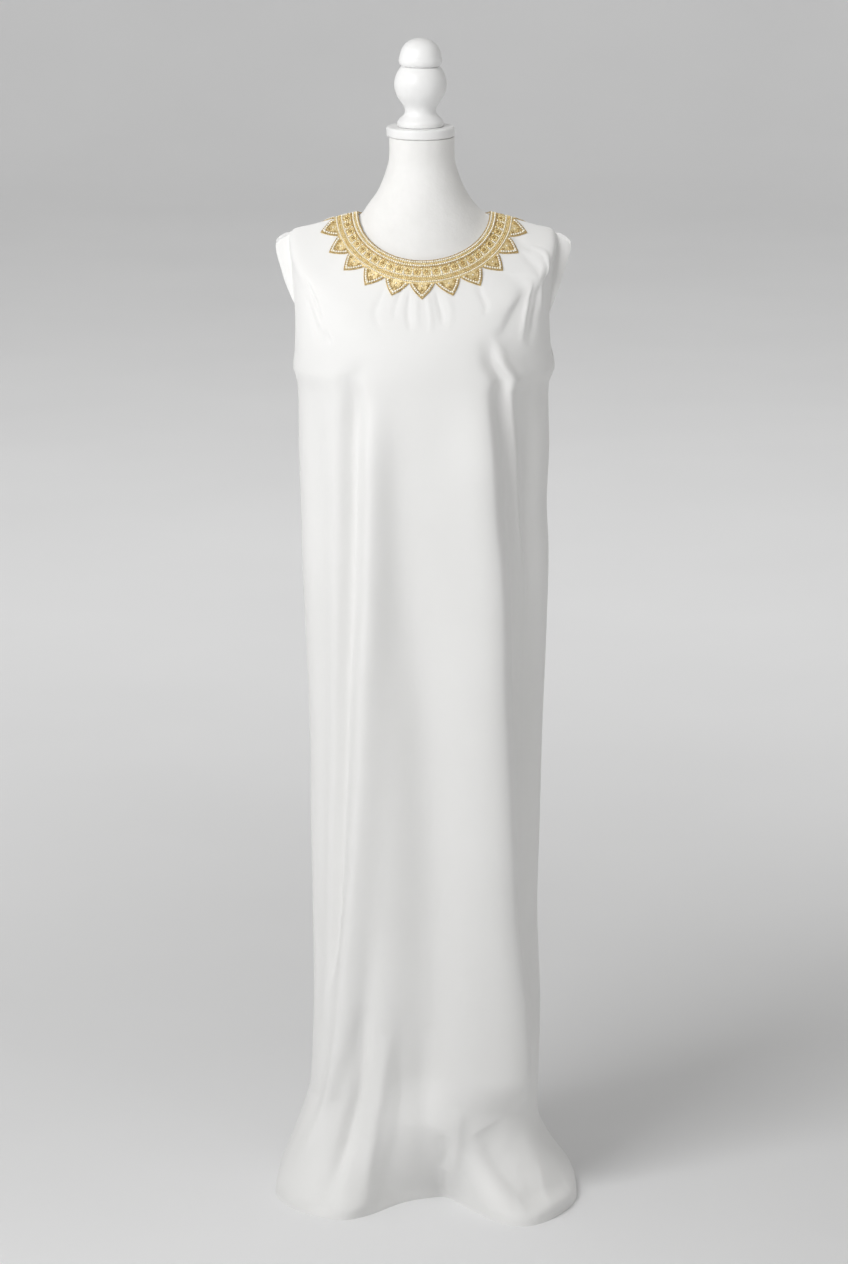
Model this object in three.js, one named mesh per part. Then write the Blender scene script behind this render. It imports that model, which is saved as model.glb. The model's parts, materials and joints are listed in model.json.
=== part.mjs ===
// A white floor-length dress with cap sleeves and a gold pointed neckline trim, worn by a
// limbless dress form with a turned finial and a three-legged stand.
// Millimetres, +Z up. The front faces -Y, +X is the viewer's right, and left and right in the
// names are the viewer's. The origin is on the floor, under the middle of the hem.
import * as THREE from 'three';

// ---- Driving sizes -------------------------------------------------------------------

const wall = 2; // cloth thickness
const seamGap = 0.3; // between two pieces that are sewn or seated together
const trimThickness = 1.4;
const trimInset = 0.5; // from the neckline's edge
const trimBand = 33; // neckline to the foot of the teeth
const toothLength = 24;
const toothFullness = 0.8; // 1 is a straight-sided tooth, and less is fuller
const teethPerPanel = 11;
const poleX = -2; // the form stands this far off the middle of the hem

// Rings round the yoke, from the neckline to the underarm. Each is a half oval at the front and
// one at the back: its half widths, its reach forward and back, its height at the sides, centre
// front and centre back, and how square it is. The edge angles say how far round each panel
// goes: 90 degrees is a seam, and less is an armhole edge.
const yokeRings = table(
  ['left', 'right', 'front', 'back', 'sideZ', 'frontZ', 'backZ', 'power', 'frontEdge', 'backEdge'], [
    [90, 96, 77, 64, 1447.5, 1391, 1432, 1.0, 90, 90], // neckline
    [122, 127, 93, 82, 1440, 1363, 1417, 0.95, 90, 90], // under the trim
    [156, 160, 106, 100, 1431, 1338, 1396, 0.9, 90, 90], // mid shoulder
    [186, 189, 117, 114, 1421, 1314, 1370, 0.85, 90, 90], // shoulder point
    [187, 188, 126, 123, 1388, 1294, 1343, 0.8, 82, 82], // armhole, high
    [186, 187, 134, 129, 1326, 1273, 1306, 0.75, 76, 74], // armhole, middle
    [184, 187, 139, 131, 1264, 1250, 1261, 0.72, 80, 78], // armhole, low
    [184, 190, 141, 131, 1226, 1226, 1226, 0.7, 90, 90], // underarm point
  ]);

// Level rings of the body below the underarm.
const bodyRings = table(['z', 'left', 'right', 'front', 'back', 'power'], [
  [1208, 179, 183, 141, 131, 0.7],
  [1110, 177, 183, 141, 130, 0.7],
  [1030, 174.5, 180, 140, 128, 0.7],
  [955, 173, 183, 139, 127, 0.7],
  [830, 168, 180, 138, 127, 0.7],
  [690, 163, 175, 137, 128, 0.7],
  [555, 162, 172, 136, 129, 0.7],
  [420, 160, 169, 135, 131, 0.7],
  [280, 159, 174, 135, 134, 0.7],
  [130, 165, 171, 136, 138, 0.7],
  [0, 170, 176, 138, 142, 0.7],
]);

// Grid rows between each ring and the next.
const yokeSteps = [2, 2, 2, 2, 2, 2, 1];
const bodySteps = [1, 2, 1, 1, 2, 2, 2, 2, 2, 2, 6];

// Hanging folds. Angles are from the centre of the panel, at the top, the middle height and the
// lower end of the fold. A positive depth is a ridge and a negative one a trough.
const foldColumns = ['topZ', 'endZ', 'topAngle', 'midAngle', 'endAngle', 'width', 'depth'];
const frontFolds = table(foldColumns, [
  [1290, 120, -31, -46, -60, 6, -8], // long trough, left
  [1270, 60, -26, -33, -50, 7, 6], // ridge beside it, running into the left lobe
  [1200, 520, -15, -16, -14, 11, -4], // wide hollow left of centre
  [1300, 90, 20, 21, 24, 12, 6], // broad main ridge
  [1290, 200, 30, 40, 60, 5, -9], // sharp trough, right
  [1300, 640, 35, 47, 55, 5, 5], // thin ridge outside it
  [1190, 150, 70, 72, 76, 8, 3], // right side
  [700, 150, 2, 1, 0, 9, -3], // low hollow at the centre
]);
const backFolds = table(foldColumns, [
  [1260, 80, -58, -60, -64, 8, 5], // left side ridge
  [1280, 150, -34, -38, -44, 7, -8], // left trough
  [1230, 100, -16, -18, -22, 8, 5], // ridge left of centre
  [1270, 420, 4, 3, 2, 8, -6], // centre hollow
  [1240, 100, 22, 24, 27, 9, 6], // ridge right of centre
  [1280, 150, 41, 45, 50, 6, -8], // right trough
  [1200, 100, 62, 63, 66, 7, 4], // right side ridge
]);

// The hem on the floor, side seam to side seam: where it lies, the height at which the cloth
// starts to spread towards that place, and how late it does so.
const hemColumns = ['angle', 'x', 'y', 'start', 'late'];
const frontHem = table(hemColumns, [
  [-90, -216, 0, 150, 1.3],
  [-74, -212, -84, 160, 1.3],
  [-60, -178, -134, 185, 1.4],
  [-47, -130, -186, 180, 1.5],
  [-34, -86, -158, 160, 1.6],
  [-14, -28, -100, 150, 1.8],
  [6, 28, -72, 130, 1.7],
  [20, 70, -120, 140, 1.8],
  [32, 106, -194, 140, 1.9],
  [43, 142, -217, 140, 2.0],
  [58, 188, -170, 130, 2.1],
  [75, 220, -92, 120, 2.2],
  [90, 229, 0, 120, 2.2],
]);
const backHem = table(hemColumns, [
  [-90, -216, 0, 150, 1.3],
  [-72, -206, 78, 150, 1.4],
  [-54, -166, 140, 150, 1.5],
  [-38, -112, 148, 140, 1.6],
  [-20, -56, 186, 160, 1.5],
  [0, 2, 214, 190, 1.5],
  [20, 60, 192, 160, 1.5],
  [38, 112, 152, 140, 1.7],
  [54, 170, 154, 140, 1.8],
  [72, 214, 84, 130, 2.0],
  [90, 229, 0, 120, 2.2],
]);

// ---- Small helpers -------------------------------------------------------------------

function table(columns, rows) {
  return rows.map((row) => Object.fromEntries(columns.map((name, i) => [name, row[i]])));
}

function smooth(from, to, value) {
  return THREE.MathUtils.smoothstep(value, from, to);
}

function evenly(count, from, to) {
  return Array.from({ length: count + 1 }, (_, i) => from + (to - from) * i / count);
}

// A smooth curve through a table's rows: the value of one column where another equals `at`.
function along(rows, key, column, at) {
  const last = rows.length - 1;
  const next = rows.findIndex((row, i) => i > 0 && (row[key] >= at || i === last));
  const [a, b] = [rows[next - 1], rows[next]];
  const share = THREE.MathUtils.clamp((at - a[key]) / (b[key] - a[key]), 0, 1);
  const before = rows[Math.max(next - 2, 0)];
  const after = rows[Math.min(next + 1, last)];
  const gap = b[key] - a[key];
  const slopeA = (b[column] - before[column]) / (b[key] - before[key]) * gap;
  const slopeB = (after[column] - a[column]) / (after[key] - a[key]) * gap;
  const square = share * share;
  const cube = square * share;
  return a[column] * (2 * cube - 3 * square + 1) + slopeA * (cube - 2 * square + share)
    + b[column] * (3 * square - 2 * cube) + slopeB * (cube - square);
}

// ---- Closed solids from grids of points ----------------------------------------------

function geometryOf(points, triangles) {
  let volume = 0;
  for (const [a, b, c] of triangles) {
    volume += points[a].dot(new THREE.Vector3().crossVectors(points[b], points[c]));
  }
  const outward = volume > 0 ? triangles : triangles.map(([a, b, c]) => [a, c, b]);
  const geometry = new THREE.BufferGeometry();
  geometry.setAttribute('position', new THREE.Float32BufferAttribute(
    points.flatMap((point) => point.toArray()), 3));
  geometry.setIndex(outward.flat());
  geometry.computeVertexNormals();
  return geometry;
}

// A wall between two grids with the same rows and columns, closed along its four edges.
function wallGeometry(outer, inner) {
  const rows = outer.length;
  const columns = outer[0].length;
  const points = [...outer.flat(), ...inner.flat()];
  const front = (row, column) => row * columns + column;
  const behind = (row, column) => rows * columns + row * columns + column;
  const triangles = [];
  const quad = (a, b, c, d) => triangles.push([a, b, c], [a, c, d]);
  for (let i = 0; i < rows - 1; i++) {
    for (let j = 0; j < columns - 1; j++) {
      quad(front(i, j), front(i + 1, j), front(i + 1, j + 1), front(i, j + 1));
      quad(behind(i, j), behind(i, j + 1), behind(i + 1, j + 1), behind(i + 1, j));
    }
    quad(front(i, 0), behind(i, 0), behind(i + 1, 0), front(i + 1, 0));
    const edge = columns - 1;
    quad(front(i, edge), front(i + 1, edge), behind(i + 1, edge), behind(i, edge));
  }
  for (let j = 0; j < columns - 1; j++) {
    quad(front(0, j), front(0, j + 1), behind(0, j + 1), behind(0, j));
    const end = rows - 1;
    quad(front(end, j), behind(end, j), behind(end, j + 1), front(end, j + 1));
  }
  return geometryOf(points, triangles);
}

// A solid through closed rings of points, with flat ends.
function ringGeometry(rings) {
  const count = rings[0].length;
  const points = rings.flat();
  const triangles = [];
  for (let i = 0; i < rings.length - 1; i++) {
    for (let j = 0; j < count; j++) {
      const next = (j + 1) % count;
      const [a, b] = [i * count + j, i * count + next];
      triangles.push([a, b, b + count], [a, b + count, a + count]);
    }
  }
  for (const [start, flip] of [[0, true], [(rings.length - 1) * count, false]]) {
    const ring = points.slice(start, start + count);
    const centre = ring.reduce((sum, point) => sum.add(point), new THREE.Vector3());
    points.push(centre.divideScalar(count));
    const hub = points.length - 1;
    for (let j = 0; j < count; j++) {
      const [a, b] = [start + j, start + (j + 1) % count];
      triangles.push(flip ? [hub, b, a] : [hub, a, b]);
    }
  }
  return geometryOf(points, triangles);
}

// Unit normals of a grid, pointing away from the wearer.
function gridNormals(grid, outwardSign) {
  const pick = (list, i) => list[THREE.MathUtils.clamp(i, 0, list.length - 1)];
  return grid.map((row, i) => row.map((_, j) => {
    const down = pick(grid, i + 1)[j].clone().sub(pick(grid, i - 1)[j]);
    const across = pick(row, j + 1).clone().sub(pick(row, j - 1));
    return down.cross(across).multiplyScalar(outwardSign).normalize();
  }));
}

// ---- The dress -----------------------------------------------------------------------

const dressRings = [
  ...yokeRings,
  ...bodyRings.map((ring) => ({
    ...ring, sideZ: ring.z, frontZ: ring.z, backZ: ring.z, frontEdge: 90, backEdge: 90,
  })),
];

// side is -1 for the front of the dress and +1 for its back.
function ringPoint(ring, side, angle) {
  const turn = THREE.MathUtils.degToRad(angle);
  const half = angle < 0 ? ring.left : ring.right;
  const reach = side < 0 ? ring.front : ring.back;
  const middleZ = side < 0 ? ring.frontZ : ring.backZ;
  const facing = Math.max(Math.cos(turn), 0);
  return new THREE.Vector3(
    half * Math.sin(turn),
    side * reach * facing ** ring.power,
    ring.sideZ + (middleZ - ring.sideZ) * facing);
}

function foldDepth(folds, angle, z) {
  let depth = 0;
  for (const fold of folds) {
    const share = THREE.MathUtils.clamp((fold.topZ - z) / (fold.topZ - fold.endZ), 0, 1);
    const bend = fold.midAngle - (fold.topAngle + fold.endAngle) / 2;
    const centre = THREE.MathUtils.lerp(fold.topAngle, fold.endAngle, share)
      + bend * 4 * share * (1 - share);
    const fade = smooth(0, 0.12, share) * (1 - 0.7 * smooth(0.8, 1, share));
    depth += fold.depth * fade * Math.exp(-(((angle - centre) / fold.width) ** 2));
  }
  return depth;
}

// The outer face of a panel: rows run from the neckline down to the hem, columns from the
// left seam to the right one.
function panelGrid(side, folds, hem, columnCount) {
  const angles = evenly(columnCount, -90, 90);
  const steps = [...yokeSteps, ...bodySteps];
  const places = steps.flatMap((count, i) => evenly(count, i, i + 1).slice(0, -1));
  places.push(steps.length);
  const curves = angles.map((angle) => new THREE.CatmullRomCurve3(dressRings.map((ring) => {
    const edge = side < 0 ? ring.frontEdge : ring.backEdge;
    return ringPoint(ring, side, angle * edge / 90);
  })));
  const plain = places.map((place) => curves.map((curve) => curve.getPoint(place / steps.length)));
  const normals = gridNormals(plain, -side);
  return plain.map((row, i) => row.map((point, j) => {
    const angle = angles[j];
    const z = point.z;
    const calm = 1 - smooth(76, 90, Math.abs(angle));
    const fold = foldDepth(folds, angle, z) * calm;
    const away = normals[i][j].clone().setZ(0).normalize();
    const moved = point.clone().addScaledVector(away, fold);
    const start = along(hem, 'angle', 'start', angle);
    const late = along(hem, 'angle', 'late', angle);
    const spread = z < start ? (1 - Math.max(z, 0) / start) ** late : 0;
    moved.x = THREE.MathUtils.lerp(moved.x, along(hem, 'angle', 'x', angle), spread);
    moved.y = THREE.MathUtils.lerp(moved.y, along(hem, 'angle', 'y', angle), spread);
    moved.y = side * (Math.max(side * moved.y, 0) + seamGap / 2);
    return moved;
  }));
}

// The panel's normals lie across the seam at its two edges, so that two panels meet squarely.
function panelNormals(grid, side) {
  const normals = gridNormals(grid, -side);
  for (const row of normals) {
    for (const normal of [row[0], row[row.length - 1]]) {
      normal.setY(0).normalize();
    }
  }
  for (const normal of normals[normals.length - 1]) {
    normal.setZ(0).normalize();
  }
  return normals;
}

function movedBy(grid, normals, distance) {
  return grid.map((row, i) => row.map(
    (point, j) => point.clone().addScaledVector(normals[i][j], distance)));
}

function makePanel(side, folds, hem, columnCount) {
  const outer = panelGrid(side, folds, hem, columnCount);
  const normals = panelNormals(outer, side);
  return { outer, normals, inner: movedBy(outer, normals, -wall) };
}

// ---- The neckline trim, made from the panel's own points -------------------------------

// Between grid points: a place and a normal at fractions of a row and a column.
function between(grid, row, column) {
  const [i, j] = [Math.min(Math.floor(row), grid.length - 2),
    Math.min(Math.floor(column), grid[0].length - 2)];
  const upper = grid[i][j].clone().lerp(grid[i][j + 1], column - j);
  const lower = grid[i + 1][j].clone().lerp(grid[i + 1][j + 1], column - j);
  return upper.lerp(lower, row - i);
}

// The row that lies a given distance down a column from the neckline.
function rowAt(grid, column, distance) {
  let left = distance;
  for (let i = 0; i < grid.length - 1; i++) {
    const length = between(grid, i, column).distanceTo(between(grid, i + 1, column));
    if (left <= length) {
      return i + left / length;
    }
    left -= length;
  }
  return grid.length - 1;
}

// Petal-shaped teeth: full sides, a pointed tip, and sharp notches between them.
function toothReach(share) {
  const fromTip = Math.abs((share * teethPerPanel) % 1 - 0.5) * 2;
  return toothLength * (1 - fromTip) ** toothFullness;
}

function trimGrid(panel, stepsPerTooth, lift) {
  const columnCount = panel.outer[0].length - 1;
  const shares = evenly(teethPerPanel * stepsPerTooth, 0, 1);
  const levels = table(['band', 'tooth'], [[0, 0], [0.5, 0], [1, 0], [1, 0.5], [1, 1]]);
  return levels.map(({ band, tooth }) => shares.map((share) => {
    const column = share * columnCount;
    const reach = trimInset + band * trimBand + tooth * (1 + toothReach(share));
    const row = rowAt(panel.outer, column, reach);
    const normal = between(panel.normals, row, column).normalize();
    return between(panel.outer, row, column).addScaledVector(normal, lift);
  }));
}

const facetRoom = 0.3; // the facets of the trim and of the panel under it differ a little

function trimGeometry(panel, stepsPerTooth) {
  const lift = seamGap + facetRoom;
  const outer = trimGrid(panel, stepsPerTooth, lift + trimThickness);
  return wallGeometry(outer, trimGrid(panel, stepsPerTooth, lift));
}

// ---- The cap sleeves ---------------------------------------------------------------------

// Seam to edge at the shoulder point, and the height of the two ends on the armhole.
const sleeves = table(['name', 'sideSign', 'length', 'foot'], [
  ['cap_sleeve_left', -1, 25, 1324],
  ['cap_sleeve_right', 1, 27, 1313],
]);
const sleeveEnds = 1.2; // seam to edge at the sleeve's two ends
const sleeveRound = 1.8; // how full the edge's curve is
const sleeveDroop = 0.42; // fall for each millimetre outwards
const sleeveStart = 0.55; // share of that fall at the seam
const sleeveCurl = 0.18; // how far the edge draws in to the middle of the shoulder
const sleeveSteps = { along: 16, out: 4 };
const sleeveGap = 0.75; // from the panels' edges, which it meets at a slant

// The armhole edge from its front foot over the shoulder point to its back foot.
function armholeSeam(frontPanel, backPanel, { sideSign, foot }) {
  const edgeOf = (panel) => panel.outer.map((row) => row[sideSign < 0 ? 0 : row.length - 1]);
  const shoulderRow = yokeSteps.slice(0, 3).reduce((sum, count) => sum + count, 0);
  const underarmRow = yokeSteps.reduce((sum, count) => sum + count, 0);
  const reaches = (panel) => {
    const edge = edgeOf(panel).slice(shoulderRow, underarmRow + 1);
    const last = edge.findIndex((point) => point.z < foot);
    const share = (edge[last - 1].z - foot) / (edge[last - 1].z - edge[last].z);
    return [...edge.slice(0, last), edge[last - 1].clone().lerp(edge[last], share)];
  };
  const front = reaches(frontPanel).reverse();
  const back = reaches(backPanel).slice(1);
  const points = [...front, ...back];
  const seam = new THREE.CurvePath();
  points.slice(1).forEach((point, i) => seam.add(new THREE.LineCurve3(points[i], point)));
  return seam;
}

function sleeveGrids(frontPanel, backPanel, sleeve) {
  const { sideSign, length } = sleeve;
  const seam = armholeSeam(frontPanel, backPanel, sleeve);
  const sleevePoint = (place, share) => {
    const top = 1 - Math.abs(place * 2 - 1) ** sleeveRound;
    const out = sleeveGap + (sleeveEnds + (length - sleeveEnds) * top) * share;
    const point = seam.getPointAt(place);
    point.x += sideSign * out;
    point.z -= out * sleeveDroop * THREE.MathUtils.lerp(sleeveStart, 1, share);
    point.y *= 1 - sleeveCurl * share;
    return point;
  };
  const outer = evenly(sleeveSteps.out, 0, 1).map(
    (share) => evenly(sleeveSteps.along, 0, 1).map((place) => sleevePoint(place, share)));
  return [outer, movedBy(outer, gridNormals(outer, sideSign), -wall)];
}

// ---- The dress form ------------------------------------------------------------------------

// Rings of the form, neck to base. Between the neck rows and the rows under the arm, it follows
// the inside of the yoke, which rests on it.
const formColumns = ['half', 'front', 'back', 'sideZ', 'frontZ', 'backZ', 'power'];
const neckRings = table(formColumns, [
  [46.5, 46.5, 46.5, 1557, 1557, 1557, 1],
  [47, 47, 47, 1524, 1524, 1524, 1],
  [50.5, 50, 51, 1510, 1508, 1511, 1],
  [56, 54, 56, 1494, 1487, 1496, 1],
  [64, 59, 60, 1477, 1462, 1481, 1],
  [77, 66, 63, 1459, 1430, 1460, 1],
]);
const torsoRings = table(formColumns, [
  [180, 116, 110, 1394, 1297, 1345, 0.85],
  [170, 123, 113, 1335, 1276, 1306, 0.85],
  [158, 126, 110, 1280, 1248, 1262, 0.85],
  [151, 122, 105, 1226, 1213, 1215, 0.85],
  [134, 102, 95, 1150, 1150, 1150, 0.9],
  [121, 90, 86, 1050, 1050, 1050, 0.9],
  [136, 97, 97, 960, 960, 960, 0.9],
  [156, 104, 112, 860, 860, 860, 0.85],
  [154, 100, 110, 790, 790, 790, 0.85],
  [140, 88, 96, 745, 745, 745, 0.85],
  [118, 70, 78, 731, 731, 731, 0.85],
]);
const formBase = 731;
const restGaps = [1.3, 0.8, 2.2]; // from the inside of the yoke, for its first three rings

function formRing(ring, angles) {
  const both = { ...ring, left: ring.half, right: ring.half };
  return angles.map((angle) => {
    const side = Math.abs(angle) <= 90 ? -1 : 1;
    const fromMiddle = side < 0 ? angle : Math.sign(angle) * 180 - angle;
    return ringPoint(both, side, fromMiddle);
  });
}

function restingRing(ring, restGap, angles) {
  const nudge = 1; // degrees to either side, to feel the slope of the surface
  const lower = dressRings[dressRings.indexOf(ring) + 1];
  return angles.map((angle) => {
    const side = Math.abs(angle) <= 90 ? -1 : 1;
    const fromMiddle = side < 0 ? angle : Math.sign(angle) * 180 - angle;
    const edge = side < 0 ? ring.frontEdge : ring.backEdge;
    const turn = fromMiddle * edge / 90;
    const point = ringPoint(ring, side, turn);
    const across = ringPoint(ring, side, turn + nudge).sub(ringPoint(ring, side, turn - nudge));
    const down = ringPoint(lower, side, turn).sub(point);
    const normal = down.cross(across).multiplyScalar(-side);
    normal.setY(Math.abs(fromMiddle) === 90 ? 0 : normal.y).normalize();
    return point.addScaledVector(normal, -(wall + restGap));
  });
}

const formSides = 28;
const ringsPerRow = 1.7; // rings of the skin for each row of the tables

function formGeometry() {
  const angles = evenly(formSides, -180, 180).slice(0, -1);
  const key = [
    ...neckRings.map((ring) => formRing(ring, angles)),
    ...restGaps.map((gap, i) => restingRing(yokeRings[i], gap, angles)),
    ...torsoRings.map((ring) => formRing(ring, angles)),
  ];
  const ringCount = Math.round((key.length - 1) * ringsPerRow);
  const curves = angles.map((_, j) => new THREE.CatmullRomCurve3(key.map((ring) => ring[j])));
  const rings = evenly(ringCount, 0, 1).map((share) => curves.map((curve) => curve.getPoint(share)));
  return ringGeometry(rings);
}

// ---- The stand -----------------------------------------------------------------------------

const neckTop = 1557;
const disc = { radius: 48.5, thickness: 14.3, edge: 3 };
const finialFoot = neckTop + seamGap + disc.thickness + seamGap;
const pole = { radius: 12.5, foot: 182 };
const hub = { radius: 25, foot: 96 };
const leg = { reach: 190, thickness: 20, pad: 30, height: 64 };

function lathe(path, sides) {
  const geometry = new THREE.LatheGeometry(path.getPoints(3), sides);
  return geometry.rotateX(Math.PI / 2);
}

function discGeometry() {
  const { radius, thickness, edge } = disc;
  const path = new THREE.Path();
  path.moveTo(0, 0);
  path.lineTo(radius - edge, 0);
  path.absarc(radius - edge, edge, edge, -Math.PI / 2, 0);
  path.absarc(radius - edge, thickness - edge, edge, 0, Math.PI / 2);
  path.lineTo(0, thickness);
  return lathe(path, 24).translate(0, 0, neckTop + seamGap);
}

// A bell foot, a ball and an acorn cap, turned from one piece.
function finialGeometry() {
  const path = new THREE.Path();
  path.moveTo(0, 0);
  path.lineTo(33, 0);
  path.lineTo(33, 5);
  path.bezierCurveTo(32, 12, 22, 14, 22, 22);
  path.bezierCurveTo(22, 32, 36, 38, 37.5, 58);
  path.bezierCurveTo(38, 72, 30, 84, 25, 85.5);
  path.bezierCurveTo(30.5, 86, 32, 93, 30, 98);
  path.bezierCurveTo(29.5, 106, 24, 125, 0, 125);
  return lathe(path, 24).translate(0, 0, finialFoot);
}

function poleGeometry() {
  const length = formBase - seamGap - pole.foot;
  return new THREE.CylinderGeometry(pole.radius, pole.radius, length, 20)
    .rotateX(Math.PI / 2).translate(0, 0, pole.foot + length / 2);
}

function hubGeometry() {
  const length = pole.foot - seamGap - hub.foot;
  return new THREE.CylinderGeometry(hub.radius, hub.radius, length, 24)
    .rotateX(Math.PI / 2).translate(0, 0, hub.foot + length / 2);
}

// A curved leg with a flat foot, cut from a board.
function legGeometry() {
  const inner = hub.radius + seamGap;
  const shape = new THREE.Shape();
  shape.moveTo(inner, hub.foot + 8);
  shape.bezierCurveTo(90, hub.foot, leg.reach - 60, 50, leg.reach - leg.pad, 0);
  shape.lineTo(leg.reach, 0);
  shape.lineTo(leg.reach, 14);
  shape.bezierCurveTo(leg.reach - 60, 60, 90, hub.foot + leg.height, inner, hub.foot + leg.height);
  shape.closePath();
  const settings = { depth: leg.thickness, bevelEnabled: false, curveSegments: 8 };
  return new THREE.ExtrudeGeometry(shape, settings)
    .translate(0, 0, -leg.thickness / 2).rotateX(Math.PI / 2);
}

// ---- Materials and the object ------------------------------------------------------------

const finish = (color, roughness, metalness = 0) =>
  new THREE.MeshStandardMaterial({ color, roughness, metalness });
const finishes = {
  dressCloth: () => finish(0xf4f4f2, 0.7),
  goldTrim: () => finish(0xc8aa64, 0.45, 0.6),
  formCloth: () => finish(0xf1f0ec, 0.85),
  whitePaint: () => finish(0xf5f5f5, 0.4),
};

const dress = new THREE.Group();

function add(name, geometry, material) {
  const mesh = new THREE.Mesh(geometry, material);
  mesh.name = name;
  dress.add(mesh);
  return mesh;
}

const frontPanel = makePanel(-1, frontFolds, frontHem, 40);
const backPanel = makePanel(1, backFolds, backHem, 30);
add('front_panel', wallGeometry(frontPanel.outer, frontPanel.inner), finishes.dressCloth());
add('back_panel', wallGeometry(backPanel.outer, backPanel.inner), finishes.dressCloth());
for (const sleeve of sleeves) {
  add(sleeve.name, wallGeometry(...sleeveGrids(frontPanel, backPanel, sleeve)),
    finishes.dressCloth());
}
add('neck_trim_front', trimGeometry(frontPanel, 6), finishes.goldTrim());
add('neck_trim_back', trimGeometry(backPanel, 4), finishes.goldTrim());
add('form_torso', formGeometry(), finishes.formCloth());
add('neck_disc', discGeometry(), finishes.whitePaint()).position.x = poleX;
add('finial', finialGeometry(), finishes.whitePaint()).position.x = poleX;
add('pole', poleGeometry(), finishes.whitePaint()).position.x = poleX;
add('stand_hub', hubGeometry(), finishes.whitePaint()).position.x = poleX;
const legDirections = { leg_front_left: -150, leg_front_right: -30, leg_back: 90 };
for (const [name, direction] of Object.entries(legDirections)) {
  const mesh = add(name, legGeometry(), finishes.whitePaint());
  mesh.rotation.z = THREE.MathUtils.degToRad(direction);
  mesh.position.x = poleX;
}

export default dress;
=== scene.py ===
"""A white floor-length dress with cap sleeves and a gold beaded neckline, on a dress form.

Shapes are worked out in millimetres and become metres when a mesh is made. The front faces -Y,
+X is the viewer's right, and left and right in the names are the viewer's.
"""

import json
import math
from collections import namedtuple

import bmesh
import bpy
import numpy as np
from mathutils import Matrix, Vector

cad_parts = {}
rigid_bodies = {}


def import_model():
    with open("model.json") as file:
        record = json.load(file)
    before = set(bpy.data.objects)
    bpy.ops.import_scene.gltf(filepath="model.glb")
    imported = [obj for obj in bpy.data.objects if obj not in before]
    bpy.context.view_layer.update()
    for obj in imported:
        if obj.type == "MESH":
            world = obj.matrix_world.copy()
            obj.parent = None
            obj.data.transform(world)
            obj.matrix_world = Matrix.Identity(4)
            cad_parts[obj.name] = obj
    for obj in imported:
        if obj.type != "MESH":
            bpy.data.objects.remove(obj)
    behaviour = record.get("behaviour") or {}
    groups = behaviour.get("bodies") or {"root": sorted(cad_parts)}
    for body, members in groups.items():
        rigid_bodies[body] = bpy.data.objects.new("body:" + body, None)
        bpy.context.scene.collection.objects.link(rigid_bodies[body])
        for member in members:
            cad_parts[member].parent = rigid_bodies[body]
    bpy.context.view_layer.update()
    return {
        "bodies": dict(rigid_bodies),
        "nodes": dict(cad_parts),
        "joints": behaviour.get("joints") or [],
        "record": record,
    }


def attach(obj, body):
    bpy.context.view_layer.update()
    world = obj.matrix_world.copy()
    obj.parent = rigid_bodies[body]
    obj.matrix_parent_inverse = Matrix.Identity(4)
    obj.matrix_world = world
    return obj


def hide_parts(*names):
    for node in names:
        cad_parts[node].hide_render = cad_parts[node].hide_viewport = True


MM = 0.001  # metres in a millimetre
TINY = 0.001  # keeps a division from meeting 0
BODY = "root"

# The photograph's camera, in metres but for its lens.
PHOTO_HEIGHT = 1264  # pixels
FOCAL_LENGTH = 5655  # pixels
CAMERA_DISTANCE = 8.2
CAMERA_PITCH = math.radians(13)
CAMERA_AIM = Vector((0.003, 0.0, 0.834))
SENSOR = 36

# The dress.
CLOTH = 1.0  # thickness
SEAM_GAP = 0.3
ARMHOLE_ROW = 3  # ring at the shoulder point
UNDERARM_ROW = 7

# The neckline trim.
TRIM_INSET = 0.5
TRIM_BAND = 33
TOOTH_LENGTH = 24
TEETH = 11
TOOTH_FULLNESS = 0.8  # 1 is a straight-sided tooth, and less is fuller
TOOTH_FOOT = TRIM_INSET + TRIM_BAND + 1  # the notches between the teeth, from the neckline
TRIM_REACH = TOOTH_FOOT + TOOTH_LENGTH
BRAID = 0.9  # thickness of the strip under the beads

POLE_X = -2

# ---- Rings of the dress ----

# Each ring is a half oval at the front and one at the back: half widths, reaches, heights at
# the sides and the two middles, how square it is, and how far round each panel goes, in degrees.
Ring = namedtuple("Ring", "left right front back side_z front_z back_z power front_edge back_edge")

YOKE_RINGS = [
    Ring(90, 96, 77, 64, 1447.5, 1391, 1432, 1.0, 90, 90),  # neckline
    Ring(122, 127, 93, 82, 1440, 1363, 1417, 0.95, 90, 90),  # under the trim
    Ring(156, 160, 106, 100, 1431, 1338, 1396, 0.9, 90, 90),  # mid shoulder
    Ring(186, 189, 117, 114, 1421, 1314, 1370, 0.85, 90, 90),  # shoulder point
    Ring(187, 188, 126, 123, 1388, 1294, 1343, 0.8, 82, 82),  # armhole, high
    Ring(186, 187, 134, 129, 1326, 1273, 1306, 0.75, 76, 74),  # armhole, middle
    Ring(184, 187, 139, 131, 1264, 1250, 1261, 0.72, 80, 78),  # armhole, low
    Ring(184, 190, 141, 131, 1226, 1226, 1226, 0.7, 90, 90),  # underarm point
]

# Level rings below the underarm: height, half widths left and right, reach forward and back.
LEVELS = [
    (1208, 179, 183, 141, 131),
    (1110, 177, 183, 141, 130),
    (1030, 174.5, 180, 140, 128),
    (955, 173, 183, 139, 127),
    (830, 168, 180, 138, 127),
    (690, 163, 175, 137, 128),
    (555, 162, 172, 136, 129),
    (420, 160, 169, 135, 131),
    (280, 159, 174, 135, 134),
    (130, 165, 171, 136, 138),
    (0, 170, 176, 138, 142),
]
LEVEL_POWER = 0.7

DRESS_RINGS = YOKE_RINGS + [
    Ring(left, right, front, back, z, z, z, LEVEL_POWER, 90, 90)
    for z, left, right, front, back in LEVELS
]

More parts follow.
